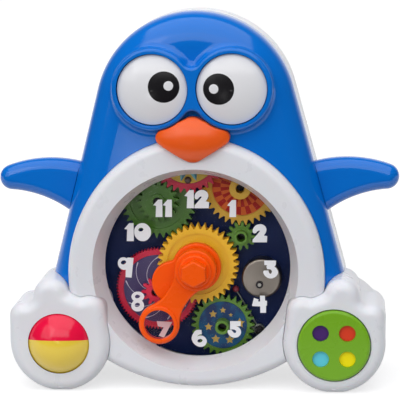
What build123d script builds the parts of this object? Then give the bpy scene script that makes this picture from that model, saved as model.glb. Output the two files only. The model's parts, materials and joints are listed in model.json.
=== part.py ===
from build123d import *
import math
import os

# Penguin-shaped geared toy clock. Every piece is drawn in the front view: X to the right, Y up and Z towards
# the viewer, with Z = 0 at the parting line of the case. The pieces are stood upright when they are written.

# Case shells, in millimetres
body_height = 261.2
head_radius = 70.0
flank_half_width = 122.3
sole_radius = 119.0
hip_radius = 30.0
base_gap = 3.0
shell_front = 31.0
shell_edge_radius = 22.0
rear_depth = 38.0
rear_edge_radius = 12.0
wall = 2.6
seam = 0.2
overrun = 6.0
running_gap = 0.05
turning_gap = 0.4

# Belly frame and dial
belly_radius = 88.9
belly_rise = 97.3
belly_top_drop = 1.1
belly_base_gap = 2.0
belly_corner_radius = 14.0
belly_front = 38.0
belly_edge_radius = 7.0
belly_back = 17.0
belly_wall = 2.4
tab_radius = 7.0
tab_thickness = 2.5
tab_angle = 65.0
dial_height = 84.8
rim_radius = 71.0
lens_opening_radius = 64.8
lens_front = 19.0
lens_thickness = 2.0
lens_lip = 2.2
column_radius = 4.5
column_pitch_radius = 73.5
column_angles = (8.0, 172.0, -60.0, -120.0)

# Dial plate, gear posts and their screws
plate_radius = 70.0
plate_front = -1.5
plate_thickness = 2.0
plate_ear_radius = 7.0
plate_lug_radius = 11.0
post_radius = 2.0
post_collar_radius = 5.0
screw_head_radius = 4.2
gear_head_radius = 2.7
screw_head_height = 1.5
screw_shank_radius = 1.3
screw_grip = 7.0

# Gear train
coarse_module = 1.5
pressure_angle = 25.0
backlash = 0.25
addendum_share = 1.0
dedendum_share = 1.25
round_flank_teeth = 20
hour_teeth = 36
minute_teeth = 36
arbor_pinion_teeth = 20
red_wheel_teeth = 80
red_pinion_teeth = 12
star_teeth = 28
green_teeth = 34
green_pinion_teeth = 18
sunburst_teeth = 34
idler_teeth = 12
checker_teeth = 34
eye_teeth = 36
red_direction = 213.7
star_direction = -70.0
green_direction = 121.6
idler_direction = 32.4
checker_direction = 90.2
gear_thickness = 4.0
layer_gap = 1.0
rim_land = 3.4
star_rim_land = 1.9
face_recess = 0.9
label_thickness = 0.4
label_gap = 0.3
neck_radius = 5.0
star_boss_radius = 5.0
checker_boss_radius = 7.4
sunburst_boss_radius = 6.5
pinion_boss_radius = 5.4
idler_boss_radius = 4.4
boss_counterbore = 2.2
lift_pin_radius = 1.2
lift_pin_circle = 14.0
lift_pin_length = 3.6
lift_pin_count = 4

# Clock arbor and hands
arbor_radius = 3.5
arbor_bush_radius = 7.0
arbor_bush_length = 6.5
arbor_tail = 2.0
clip_radius = 6.0
clip_thickness = 1.0
hour_pipe_radius = 6.0
hour_hand_back = 20.0
hour_hand_thickness = 5.0
hour_disc_radius = 17.0
hour_paddle_radius = 15.0
hour_paddle_offset = 19.8
hour_neck_blend = 4.0
hour_clock_angle = 237.0
minute_hub_back = 26.0
minute_hub_front = 36.0
minute_hub_radius = 14.4
minute_arm_back = 29.5
minute_arm_thickness = 4.5
minute_arm_width = 15.6
minute_ring_offset = 46.5
minute_ring_radius = 14.2
minute_ring_lip = 2.6
minute_ring_rise = 1.2
minute_ring_bore = 10.5
minute_clock_angle = 214.0
minute_arm_blend = 24.0
window_thickness = 1.6
cap_disc_radius = 11.4
cap_disc_height = 2.5
cap_hex_flats = 16.4
cap_front = 48.0
cap_crown = 3.0
hand_edge_radius = 1.4

# Bell and hammer
bell_offset = 44.4
bell_post_in = 1.4
bell_post_drop = 4.2
bell_screw_radius = 2.6
bell_drop = 10.2
bell_radius = 14.0
bell_top = 14.0
bell_rim = 2.0
bell_shoulder_radius = 2.0
bell_wall = 0.9
bell_post_radius = 3.0
hammer_pivot_offset = 41.8
hammer_pivot_drop = 49.8
hammer_head_offset = 25.4
hammer_head_drop = 20.6
hammer_post_radius = 2.5
hammer_hub_radius = 3.8
hammer_hub_thickness = 2.6
hammer_wire_radius = 0.6
hammer_head_radius = 2.4
hammer_tail_width = 2.4
hammer_screw_radius = 3.2

# Eyes and beak
eye_height = 210.2
eye_radius = 23.8
eye_edge = 36.0
eye_front = 40.5
eye_socket_gap = 0.6
eye_rim_width = 3.6
eye_rim_front = 38.5
eye_rim_radius = 2.2
eye_rim_blend = 6.0
eye_flare_radius = 5.0
eye_socket_back = 24.0
eye_shaft_radius = 4.0
eye_bearing_radius = 7.0
eye_stub_radius = 2.5
pupil_radius = 10.6
pupil_offset = 8.6
pupil_depth = 2.0
left_pupil_angle = 14.0
right_pupil_angle = 177.0
beak_height = 178.0
beak_half_width = 27.5
beak_rise = 13.0
beak_drop = 17.0
beak_front = 46.0
beak_swell_drop = 2.0
beak_swell_half_width = 27.8
beak_swell_half_height = 17.8
beak_back = 25.0
beak_tip_radius = 5.0
beak_round_radius = 9.0
beak_edge_radius = 2.0
beak_flange = 2.5

# Wings
wing_reach = 140.0
wing_root_top = 156.2
wing_root_bottom = 121.6
wing_middle = 3.0
wing_thickness = 19.0
wing_edge_radius = 8.4
wing_tip_radius = 8.8
wing_tip_height = 145.4
wing_shoulder_angle = 61.7665  # from the line between root and tip, as the next one
wing_under_angle = -94.2335
tenon_thickness = 8.0
tenon_flange_thickness = 2.4
tenon_flange_lip = 2.5

# Feet, rolling ball and finger dial
foot_offset = 95.2
foot_height = 34.7
foot_radius = 35.2
foot_front = 44.0
foot_edge_radius = 8.0
foot_wall = 2.5
toe_blend = 5.0
middle_toe_radius = 12.0
middle_toe_out = 5.5
middle_toe_up = 33.0
inner_toe_radius = 11.0
inner_toe_in = 21.5
inner_toe_up = 22.0
outer_toe_radius = 9.6
outer_toe_out = 25.4
outer_toe_up = 18.0
box_inner_offset = 62.0
box_outer_offset = 131.0
box_height = 57.5
box_low_height = 22.0
box_corner_radius = 12.0
box_edge_radius = 9.0
ball_radius = 25.0
ball_proud = 10.8
ball_gap = 0.7
ball_wall = 2.4
ball_split_angle = 11.0
ball_axle_radius = 2.0
ball_tube_radius = 5.0
ball_boss_radius = 5.0
ball_boss_gap = 1.0
disc_radius = 24.8
disc_proud = 2.5
disc_thickness = 6.0
disc_edge_radius = 2.2
disc_gap = 0.7
disc_hole_radius = 5.7
disc_hole_offset = 9.1
disc_hole_depth = 3.6
insert_thickness = 1.5
disc_shaft_radius = 4.0
disc_shaft_length = 7.0
disc_cup_wall = 2.4
disc_washer_radius = 6.5

# Case screws
case_screw_heights = (240.0, 165.0, 165.0)
case_screw_offsets = (0.0, 66.0, -66.0)
case_boss_radius = 4.5
case_tower_radius = 5.2
case_head_radius = 3.0
case_head_height = 2.4
case_shank_radius = 1.4
case_screw_floor = 4.0
case_screw_grip = 10.0
foot_screw_radius = 3.0
foot_screw_height = 5.9

seat = (Align.CENTER, Align.CENTER, Align.MIN)
towards_viewer = (0, 0, 1)

# Places that follow from the sizes above
head_height = body_height - head_radius
hub = (0, dial_height)
hour_back = 2 * (gear_thickness + layer_gap)
minute_back = gear_thickness + layer_gap
fine_module = coarse_module * (hour_teeth + red_pinion_teeth) / (red_wheel_teeth + arbor_pinion_teeth)
eye_half_spacing = coarse_module * eye_teeth / 2
left_eye_at = (-eye_half_spacing, eye_height)
right_eye_at = (eye_half_spacing, eye_height)
eye_socket_radius = eye_radius + eye_socket_gap
eye_rim_outer = eye_socket_radius + eye_rim_width
eye_floor = shell_front
eye_back = shell_front + turning_gap
ball_depth = foot_front + ball_proud - ball_radius
disc_front = foot_front + disc_proud
disc_back = disc_front - disc_thickness
disc_at = (foot_offset, foot_height)
depth_middle = (foot_front + ball_proud - rear_depth) / 2
lens_radius = lens_opening_radius + lens_lip
boss_front = lens_front - lens_thickness - layer_gap
screw_hole_radius = screw_shank_radius + running_gap
belly_height = beak_height - belly_top_drop - belly_rise
bell_at = (bell_offset, dial_height - bell_drop)
bell_post_at = (bell_offset - bell_post_in, dial_height - bell_drop - bell_post_drop)
hammer_at = (hammer_pivot_offset, dial_height - hammer_pivot_drop)
hammer_head_at = (hammer_head_offset, dial_height - hammer_head_drop)


def polar(origin, radius, degrees):
    angle = math.radians(degrees)
    return (origin[0] + radius * math.cos(angle), origin[1] + radius * math.sin(angle))


def direction(origin, target):
    return math.atan2(target[1] - origin[1], target[0] - origin[0])


def distance(origin, target):
    return math.hypot(target[0] - origin[0], target[1] - origin[1])


def circles_meet(first, first_radius, second, second_radius):
    # The point at both radii that lies to the right of the line from first to second.
    span = distance(first, second)
    along = (first_radius**2 - second_radius**2 + span**2) / (2 * span)
    aside = math.sqrt(first_radius**2 - along**2)
    angle = direction(first, second)
    across = angle - math.pi / 2
    x = first[0] + along * math.cos(angle) + aside * math.cos(across)
    y = first[1] + along * math.sin(angle) + aside * math.sin(across)
    return (x, y)


def centre_distance(teeth, other_teeth):
    return coarse_module * (teeth + other_teeth) / 2


red_at = polar(hub, centre_distance(hour_teeth, red_pinion_teeth), red_direction)
star_at = polar(hub, centre_distance(minute_teeth, star_teeth), star_direction)
green_at = polar(hub, centre_distance(minute_teeth, green_teeth), green_direction)
idler_at = polar(hub, centre_distance(minute_teeth, idler_teeth), idler_direction)
checker_at = polar(idler_at, centre_distance(idler_teeth, checker_teeth), checker_direction)
sunburst_at = circles_meet(
    green_at,
    centre_distance(green_pinion_teeth, sunburst_teeth),
    left_eye_at,
    centre_distance(sunburst_teeth, eye_teeth),
)


# Plain solids
def rod(radius, low, high, at=(0, 0)):
    return Pos(at[0], at[1], low) * Cylinder(radius, high - low, align=seat)


def prism(sketch, low, high):
    return extrude(Pos(0, 0, low) * sketch, amount=high - low, dir=towards_viewer)


def rounded_prism(sketch, low, high, radius):
    solid = prism(sketch, low, high)
    return fillet(solid.edges().group_by(Axis.Z)[-1], radius)


def cone_between(low_radius, low, high_radius, high, at):
    return Pos(at[0], at[1], low) * Cone(low_radius, high_radius, high - low, align=seat)


def mirrored(piece):
    return mirror(piece, about=Plane.YZ)


# Outlines of the case
def flank_touch():
    # Where the straight flank leaves the round head.
    corner = (flank_half_width, base_gap)
    centre = (0, head_height)
    angle = direction(centre, corner) + math.acos(head_radius / distance(centre, corner))
    return (head_radius * math.cos(angle), head_height + head_radius * math.sin(angle))


def flank_x(height):
    touch = flank_touch()
    share = (touch[1] - height) / (touch[1] - base_gap)
    return touch[0] + share * (flank_half_width - touch[0])


def rounded_corners(face, radius):
    # Rounds outward corners: the face is shrunk and grown again.
    return offset(offset(face, amount=-radius), amount=radius)


def blended_corners(face, radius):
    # Rounds inward corners: the face is grown and shrunk again.
    return offset(offset(face, amount=radius), amount=-radius)


def body_outline():
    touch = flank_touch()
    left_touch = (-touch[0], touch[1])
    crown = ThreePointArc(touch, (0, body_height), left_touch)
    flanks = Polyline(left_touch, (-flank_half_width, base_gap), (flank_half_width, base_gap), touch)
    face = make_face([crown] + flanks.edges())
    sole_height = base_gap + sole_radius
    sole = Pos(0, sole_height) * Circle(sole_radius)
    sole += Pos(0, sole_height + body_height / 2) * Rectangle(2 * sole_radius, body_height)
    return rounded_corners(face & sole, hip_radius)


def belly_outline():
    # An oval of four arcs through the points of an ellipse.
    aside = belly_radius * math.sqrt(0.5)
    high = belly_height + belly_rise * math.sqrt(0.5)
    low = belly_height - belly_rise * math.sqrt(0.5)
    top = ThreePointArc((aside, high), (0, belly_height + belly_rise), (-aside, high))
    left = ThreePointArc((-aside, high), (-belly_radius, belly_height), (-aside, low))
    base = ThreePointArc((-aside, low), (0, belly_height - belly_rise), (aside, low))
    right = ThreePointArc((aside, low), (belly_radius, belly_height), (aside, high))
    crown = make_face([top, left, base, right])
    sole = Pos(0, belly_base_gap + sole_radius) * Circle(sole_radius)
    return rounded_corners(crown & sole, belly_corner_radius)


def below_floor(height):
    tall = 2 * foot_radius
    return Pos(foot_offset, height - tall / 2) * Rectangle(2 * tall, tall)


def foot_outline():
    # The right foot: a round pad cut flat at the floor, with three toes.
    centre = (foot_offset, foot_height)
    toes = (
        (middle_toe_out, middle_toe_up, middle_toe_radius),
        (-inner_toe_in, inner_toe_up, inner_toe_radius),
        (outer_toe_out, outer_toe_up, outer_toe_radius),
    )
    face = Pos(*centre) * Circle(foot_radius)
    for out, up, radius in toes:
        face += Pos(centre[0] + out, centre[1] + up) * Circle(radius)
    for out, up, radius in toes[1:]:
        # the side of the pad runs straight on into the side toe
        side = math.copysign(foot_radius - radius, out)
        run = Vector(out - side, up)
        strip = Pos(run.length / 2, 0) * Rectangle(run.length, 2 * radius)
        face += Pos(centre[0] + side, centre[1]) * Rot(0, 0, math.degrees(math.atan2(run.Y, run.X))) * strip
    return blended_corners(face, toe_blend) - below_floor(0)


def foot_box_outline(inset=0):
    # The box behind a foot: as round as the foot below, squarer behind the toes.
    low = box_inner_offset + inset
    high = box_outer_offset - inset
    tall = box_height - box_low_height - inset
    middle = ((low + high) / 2, box_low_height + tall / 2)
    face = Pos(*middle) * RectangleRounded(high - low, tall, box_corner_radius - inset)
    face += Pos(foot_offset, foot_height) * Circle(foot_radius - inset)
    return blended_corners(face, toe_blend) - below_floor(inset)


def wing_slot(share_low, share_high, depth, outside=0):
    # A strip of the flank's wall between two shares of the wing's root, reaching depth inwards.
    touch = flank_touch()
    slope = direction(touch, (flank_half_width, base_gap))
    inward = (math.sin(slope), -math.cos(slope))
    ends = []
    for share in (share_low, share_high):
        height = wing_root_bottom + share * (wing_root_top - wing_root_bottom)
        ends.append((flank_x(height), height))
    corners = [(x - inward[0] * outside, y - inward[1] * outside) for x, y in ends]
    corners += [(x + inward[0] * depth, y + inward[1] * depth) for x, y in reversed(ends)]
    return make_face(Polyline(*corners, close=True))


tenon_shares = (0.2, 0.8)
tenon_flange_shares = (0.1, 0.9)
tenon_low = wing_middle - tenon_thickness / 2
tenon_high = wing_middle + tenon_thickness / 2


def wing_slot_cut():
    low_share, high_share = tenon_shares
    root_length = wing_root_top - wing_root_bottom
    spare = seam / root_length
    strip = wing_slot(low_share - spare, high_share + spare, wall + overrun, overrun)
    return prism(strip, tenon_low - seam, tenon_high + seam)


# Case pieces
def front_hollow():
    inner = offset(body_outline(), amount=-wall)
    return rounded_prism(inner, -overrun, shell_front - wall, shell_edge_radius - wall)


def goggle_outline():
    rims = Pos(*left_eye_at) * Circle(eye_rim_outer) + Pos(*right_eye_at) * Circle(eye_rim_outer)
    return blended_corners(rims, eye_rim_blend)


def goggled_front():
    # The front of the case with both eye rims, which flare out where they meet the face.
    outline = goggle_outline()
    wire = outline.face().outer_wire()
    front = rounded_prism(body_outline(), 0, shell_front, shell_edge_radius)
    front += rounded_prism(outline, eye_socket_back, eye_rim_front, eye_rim_radius)
    foot = []
    for edge in front.edges():
        middle = edge @ 0.5
        low_enough = eye_socket_back < middle.Z < shell_front + seam
        if low_enough and wire.distance_to(Vertex(middle.X, middle.Y, 0)) < seam:
            foot.append(edge)
    return fillet(foot, eye_flare_radius)


def front_shell():
    outside = goggled_front()
    shell = outside - front_hollow() + prism(goggle_outline(), eye_socket_back, shell_front)
    shell -= prism(offset(beak_outline(), amount=seam), shell_front, beak_front + overrun)
    shell -= prism(offset(belly_outline(), amount=seam), belly_back - seam, belly_front)
    for at in (left_eye_at, right_eye_at):
        shell -= rod(eye_socket_radius, eye_floor, eye_front + overrun, at)
        shell -= rod(eye_socket_radius, eye_socket_back - overrun, eye_floor - wall, at)
        gear_front = hour_back + gear_thickness
        shell += rod(eye_bearing_radius, gear_front + turning_gap, eye_floor, at)
        shell -= rod(eye_shaft_radius + running_gap, -overrun, eye_front, at)
    shell -= prism(offset(beak_outline(), amount=-beak_flange + seam), beak_back - overrun, beak_front)
    for x, y in zip(case_screw_offsets, case_screw_heights):
        shell += rod(case_boss_radius, 0, shell_front - wall / 2, (x, y)) & outside
        shell -= rod(case_shank_radius + running_gap, -overrun, case_screw_grip, (x, y))
    shell -= prism(below_feet(), -overrun, shell_front + overrun)
    foot = prism(offset(foot_outline(), amount=seam), -overrun, foot_front + overrun)
    slot = wing_slot_cut()
    for cut in (foot, slot):
        shell -= cut
        shell -= mirrored(cut)
    return shell


def below_feet():
    # The strip between the feet, which the belly frame closes in place of the front shell.
    tall = foot_height + inner_toe_up
    return Pos(0, tall / 2) * Rectangle(4 * foot_offset, tall)


def screw_tower_bore(at):
    bore = rod(case_head_radius + seam, -rear_depth - overrun, -case_screw_floor, at)
    return bore + rod(case_shank_radius + seam, -rear_depth, overrun, at)


foot_screw_places = (
    (foot_offset, foot_screw_height),
    (foot_offset - inner_toe_in, foot_height + inner_toe_up),
)
case_screw_places = tuple(zip(case_screw_offsets, case_screw_heights))


def all_foot_screw_places():
    return foot_screw_places + tuple((-x, y) for x, y in foot_screw_places)


def rear_volume(inset):
    depth = rear_depth - inset
    body = body_outline()
    box = foot_box_outline(inset)
    if inset:
        body = offset(body, amount=-inset)
    backwards = Rot(0, 180, 0)
    lead = overrun if inset else 0
    volume = backwards * rounded_prism(body, -lead, depth, rear_edge_radius - inset)
    side = backwards * rounded_prism(mirrored(box), -lead, depth, box_edge_radius - inset)
    return volume + side + mirrored(side)


def rear_cover():
    outside = rear_volume(0)
    cover = outside - rear_volume(wall)
    places = case_screw_places + all_foot_screw_places()
    for at in places:
        cover += rod(case_tower_radius, -rear_depth, 0, at) & outside
    for at in places:
        cover -= screw_tower_bore(at)
    slot = wing_slot_cut()
    cover -= slot
    cover -= mirrored(slot)
    return cover


def belly_frame():
    outline = belly_outline()
    frame = rounded_prism(outline, belly_back, belly_front, belly_edge_radius)
    inner = offset(outline, amount=-belly_wall)
    hollow = rounded_prism(inner, belly_back - overrun, belly_front - belly_wall, belly_edge_radius - belly_wall)
    frame -= hollow
    skirt = prism((outline - inner) & below_feet(), 0, belly_back)
    frame += skirt
    frame += cone_between(
        lens_opening_radius + lens_lip, lens_front, rim_radius + belly_wall, belly_front, hub
    )
    draft = (rim_radius - lens_opening_radius) / (belly_front - lens_front)
    spread = overrun * draft
    frame -= cone_between(
        lens_opening_radius - spread, lens_front - overrun, rim_radius + spread, belly_front + overrun, hub
    )
    for angle in column_angles:
        at = polar(hub, column_pitch_radius, angle)
        column = rod(column_radius, plate_front, belly_front - belly_wall / 2, at)
        column -= rod(lens_radius + seam, plate_front - overrun, lens_front, hub)
        column -= cone_between(lens_opening_radius, lens_front, rim_radius, belly_front, hub)
        column -= rod(screw_hole_radius, plate_front - overrun, plate_front + screw_grip, at)
        frame += column
    tab_top = shell_front - wall
    for angle in (tab_angle, 180 - tab_angle):
        turn = math.radians(angle)
        at = (belly_radius * math.cos(turn), belly_height + belly_rise * math.sin(turn))
        frame += (rod(tab_radius, tab_top - tab_thickness, tab_top, at) - hollow) & front_hollow()
    frame -= prism(offset(beak_outline(), amount=seam), beak_back - seam, beak_front)
    foot = prism(offset(foot_outline(), amount=seam), -overrun, foot_front + overrun)
    frame -= foot
    frame -= mirrored(foot)
    return frame


def dial_lens():
    lens = rod(lens_radius, lens_front - lens_thickness, lens_front, hub)
    return lens - rod(hour_pipe_radius + turning_gap, 0, lens_front + overrun, hub)


# Beak and wings
def beak_outline():
    corners = (
        (-beak_half_width, beak_height),
        (0, beak_height - beak_drop),
        (beak_half_width, beak_height),
        (0, beak_height + beak_rise),
    )
    diamond_share = 1.12
    middle = Vector(0, beak_height)
    stretched = [middle + (Vector(*corner) - middle) * diamond_share for corner in corners]
    face = make_face(Polyline(*stretched, close=True))
    sides = face.vertices().sort_by(Axis.X)
    face = fillet([sides[0], sides[-1]], beak_tip_radius)
    ends = face.vertices().sort_by(Axis.Y)
    tips = [vertex for vertex in ends if abs(vertex.X) < beak_tip_radius / 2]
    face = fillet(tips, beak_round_radius)
    for at in (left_eye_at, right_eye_at):
        face -= Pos(*at) * Circle(eye_rim_outer + seam)
    return face


def beak():
    outline = beak_outline()
    swell = scale(Sphere(1), by=(beak_swell_half_width, beak_swell_half_height, beak_front - shell_front))
    body = prism(outline, shell_front, beak_front + overrun)
    body &= Pos(0, beak_height - beak_swell_drop, shell_front) * swell
    brink = [edge for edge in body.edges() if edge.center().Z > shell_front + beak_edge_radius]
    body = fillet(brink, beak_edge_radius)
    return body + prism(offset(outline, amount=-beak_flange), beak_back, shell_front)


def wing_outline():
    root_top = (flank_x(wing_root_top), wing_root_top)
    root_bottom = (flank_x(wing_root_bottom), wing_root_bottom)
    root_middle = ((root_top[0] + root_bottom[0]) / 2, (root_top[1] + root_bottom[1]) / 2)
    tip = (wing_reach - wing_tip_radius, wing_tip_height)
    lift = math.degrees(direction(root_middle, tip))
    shoulder = polar(tip, wing_tip_radius, lift + wing_shoulder_angle)
    under = polar(tip, wing_tip_radius, lift + wing_under_angle)
    end = polar(tip, wing_tip_radius, 0)
    edges = [
        TangentArc(shoulder, root_top, tangent=polar((0, 0), 1, lift + wing_shoulder_angle + 90)),
        ThreePointArc(shoulder, end, under),
        TangentArc(under, root_bottom, tangent=polar((0, 0), 1, lift + wing_under_angle - 90)),
        Line(root_bottom, root_top),
    ]
    return make_face(edges)


def wing():
    low = wing_middle - wing_thickness / 2
    high = wing_middle + wing_thickness / 2
    blade = prism(wing_outline(), low, high)
    root_x = (flank_x(wing_root_top) + flank_x(wing_root_bottom)) / 2
    edge_levels = blade.edges().group_by(Axis.Z)
    rims = edge_levels[0] + edge_levels[-1]
    outer = [edge for edge in rims if edge.center().X > root_x + wall]
    blade = fillet(outer, wing_edge_radius)
    low_share, high_share = tenon_shares
    tenon_depth = wall + seam + tenon_flange_thickness
    blade += prism(wing_slot(low_share, high_share, tenon_depth), tenon_low, tenon_high)
    low_share, high_share = tenon_flange_shares
    flange = wing_slot(low_share, high_share, tenon_depth)
    flange -= wing_slot(0, 1, wall + seam)
    blade += prism(flange, tenon_low - tenon_flange_lip, tenon_high + tenon_flange_lip)
    return blade


# Feet with the rolling ball and the finger dial
def foot():
    outline = foot_outline()
    pad = rounded_prism(outline, 0, foot_front, foot_edge_radius)
    cavity = offset(outline, amount=-foot_wall) & foot_box_outline(foot_wall)
    pad -= prism(cavity, -overrun, foot_front - foot_wall)
    for at in foot_screw_places:
        pad += rod(foot_screw_radius, 0, foot_front - foot_wall / 2, at)
        pad -= rod(case_shank_radius + running_gap, -overrun, case_screw_grip, at)
    return pad


def ball_cross_rod(radius, half_length):
    return Pos(-foot_offset, foot_height, ball_depth) * Rot(0, 90, 0) * Cylinder(radius, 2 * half_length)


ball_axle_half = foot_radius - foot_wall / 2


def left_foot():
    pad = mirrored(foot())
    bosses = ball_cross_rod(ball_boss_radius, foot_radius - foot_wall / 2)
    bosses -= ball_cross_rod(ball_boss_radius + overrun, ball_radius + ball_boss_gap)
    pad += bosses
    pad -= Pos(-foot_offset, foot_height, ball_depth) * Sphere(ball_radius + ball_gap)
    pad -= ball_cross_rod(ball_axle_radius + running_gap, ball_axle_half)
    return pad


def ball_axle():
    return ball_cross_rod(ball_axle_radius, ball_axle_half)


def ball_half(upper):
    centre = Pos(-foot_offset, foot_height, ball_depth)
    ball = Sphere(ball_radius) - Sphere(ball_radius - ball_wall)
    tube = Rot(0, 90, 0) * Cylinder(ball_tube_radius, 2 * ball_radius)
    ball += tube & Sphere(ball_radius)
    ball -= Rot(0, 90, 0) * Cylinder(ball_axle_radius + running_gap, 2 * ball_radius)
    side = Align.MIN if upper else Align.MAX
    block = 2 * ball_radius
    half = Box(block, block, block, align=(Align.CENTER, side, Align.CENTER))
    return centre * Rot(-ball_split_angle, 0, 0) * (ball & half)


def right_foot():
    pad = foot()
    cup_floor = disc_back - turning_gap
    pocket_radius = disc_radius + disc_gap
    pad += rod(pocket_radius + disc_cup_wall, cup_floor - disc_cup_wall, foot_front - foot_wall, disc_at)
    pad -= rod(pocket_radius, cup_floor, foot_front + overrun, disc_at)
    pad -= rod(disc_shaft_radius + running_gap, cup_floor - disc_cup_wall - overrun, foot_front, disc_at)
    return pad


disc_hole_signs = {"purple": (-1, 1), "red": (1, 1), "blue": (-1, -1), "yellow": (1, -1)}


def disc_hole_at(colour):
    across, up = disc_hole_signs[colour]
    return (foot_offset + across * disc_hole_offset, foot_height + up * disc_hole_offset)


disc_shaft_end = disc_back - disc_shaft_length


def finger_dial():
    dial = rod(disc_radius, disc_back, disc_front, disc_at)
    dial = fillet(dial.edges().group_by(Axis.Z)[-1], disc_edge_radius)
    for colour in disc_hole_signs:
        dial -= rod(disc_hole_radius, disc_front - disc_hole_depth, disc_front + overrun, disc_hole_at(colour))
    dial += rod(disc_shaft_radius, disc_shaft_end, disc_back, disc_at)
    return dial - rod(screw_hole_radius, disc_shaft_end - overrun, disc_back, disc_at)


def dial_insert(colour):
    floor = disc_front - disc_hole_depth
    return rod(disc_hole_radius - running_gap, floor, floor + insert_thickness, disc_hole_at(colour))


def dial_screw():
    low = disc_shaft_end - screw_head_height
    screw = rod(disc_washer_radius, low, disc_shaft_end, disc_at)
    return screw + rod(screw_shank_radius, low, disc_back, disc_at)


# Eyes
def eye_dome(at):
    rise = eye_front - eye_edge
    crown_radius = (eye_radius**2 + rise**2) / (2 * rise)
    dome = rod(eye_radius, eye_back, eye_front + overrun, at)
    return dome & (Pos(at[0], at[1], eye_front - crown_radius) * Sphere(crown_radius))


def pupil_well(at, angle, radius):
    return rod(radius, eye_edge - pupil_depth, eye_front + overrun, polar(at, pupil_offset, angle))


def eye(at, angle):
    dome = eye_dome(at) - pupil_well(at, angle, pupil_radius)
    gear_front = hour_back + gear_thickness
    dome += rod(eye_shaft_radius, gear_front, eye_back, at)
    dome += rod(eye_stub_radius, hour_back, gear_front, at)
    return dome - rod(screw_hole_radius, hour_back - overrun, hour_back + screw_grip, at)


def pupil(at, angle):
    return eye_dome(at) & pupil_well(at, angle, pupil_radius - running_gap)


def eye_screw(at):
    head = rod(screw_head_radius, hour_back - screw_head_height, hour_back, at)
    return head + rod(screw_shank_radius, hour_back - screw_head_height, hour_back + screw_grip, at)


# Gears
def involute(angle):
    return math.tan(angle) - angle


def gear_outline(teeth, module, turn):
    pressure = math.radians(pressure_angle)
    pitch = module * teeth / 2
    base = pitch * math.cos(pressure)
    root = pitch - module * dedendum_share
    tip = pitch + module * addendum_share
    half_tooth = (math.pi * module / 2 - backlash) / (2 * pitch)
    radii = (root, tip) if teeth > round_flank_teeth else (root, pitch, tip)
    points = []
    for tooth in range(teeth):
        middle = turn + 2 * math.pi * tooth / teeth
        flank = []
        for radius in radii:
            roll = math.acos(base / max(radius, base))
            flank.append((radius, half_tooth + involute(pressure) - involute(roll)))
        for radius, half in flank:
            points.append((radius * math.cos(middle - half), radius * math.sin(middle - half)))
        for radius, half in reversed(flank):
            points.append((radius * math.cos(middle + half), radius * math.sin(middle + half)))
    return make_face(Polyline(*points, close=True))


def mesh_turn(turn, teeth, other_teeth, angle):
    # The turn of a gear that lies at this angle from its driver and meshes with it.
    share = (angle - turn) * teeth / (2 * math.pi)
    return angle + math.pi - 2 * math.pi / other_teeth * (0.5 - share)


def gear_wheel(teeth, turn, back, at):
    return Pos(*at) * prism(gear_outline(teeth, coarse_module, turn), back, back + gear_thickness)


def recess_radius(teeth, land=rim_land):
    return coarse_module * (teeth / 2 - dedendum_share) - land


def face_groove(outer_radius, front, at, inner_radius):
    ring = rod(outer_radius, front - face_recess, front + overrun, at)
    return ring - rod(inner_radius, front - face_recess - overrun, front + overrun, at)


def face_label(outer_radius, inner_radius, front, at):
    floor = front - face_recess
    label = rod(outer_radius - label_gap, floor, floor + label_thickness, at)
    return label - rod(inner_radius + label_gap, floor - overrun, floor + overrun, at)


hour_turn = 0
minute_turn = 0
arbor_turn = 0
red_angle = direction(hub, red_at)
red_pinion_turn = mesh_turn(hour_turn, hour_teeth, red_pinion_teeth, red_angle)
red_wheel_turn = mesh_turn(arbor_turn, arbor_pinion_teeth, red_wheel_teeth, red_angle)
star_turn = mesh_turn(minute_turn, minute_teeth, star_teeth, direction(hub, star_at))
green_turn = mesh_turn(minute_turn, minute_teeth, green_teeth, direction(hub, green_at))
idler_turn = mesh_turn(minute_turn, minute_teeth, idler_teeth, direction(hub, idler_at))
checker_turn = mesh_turn(idler_turn, idler_teeth, checker_teeth, direction(idler_at, checker_at))
sunburst_turn = mesh_turn(green_turn, green_pinion_teeth, sunburst_teeth, direction(green_at, sunburst_at))
left_eye_turn = mesh_turn(sunburst_turn, sunburst_teeth, eye_teeth, direction(sunburst_at, left_eye_at))
right_eye_turn = mesh_turn(left_eye_turn, eye_teeth, eye_teeth, direction(left_eye_at, right_eye_at))
post_bore = post_radius + running_gap
head_bore = gear_head_radius + turning_gap
star_recess = recess_radius(star_teeth, star_rim_land)
checker_recess = recess_radius(checker_teeth)
sunburst_recess = recess_radius(sunburst_teeth)
minute_front = minute_back + gear_thickness
hour_front = hour_back + gear_thickness
red_label_radius = fine_module * (red_wheel_teeth / 2 - dedendum_share) - rim_land


def with_boss(wheel, front, at, radius):
    # A tube that stands up to just behind the lens, bored for the post and counterbored for its screw.
    wheel += rod(radius, front - gear_thickness, boss_front, at)
    wheel -= rod(post_bore, -overrun, boss_front, at)
    return wheel - rod(head_bore, front - boss_counterbore, boss_front + overrun, at)


def red_gear():
    toothed = gear_outline(red_wheel_teeth, fine_module, red_wheel_turn)
    wheel = Pos(*red_at) * prism(toothed, 0, gear_thickness)
    groove = rod(red_label_radius, gear_thickness - face_recess, gear_thickness + overrun, red_at)
    wheel -= groove
    wheel += rod(neck_radius, 0, hour_back, red_at)
    wheel += gear_wheel(red_pinion_teeth, red_pinion_turn, hour_back, red_at)
    return with_boss(wheel, hour_front, red_at, pinion_boss_radius)


def single_gear(teeth, turn, back, at, boss_radius, outer_radius):
    front = back + gear_thickness
    wheel = gear_wheel(teeth, turn, back, at) - face_groove(outer_radius, front, at, boss_radius)
    return with_boss(wheel, front, at, boss_radius)


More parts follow.
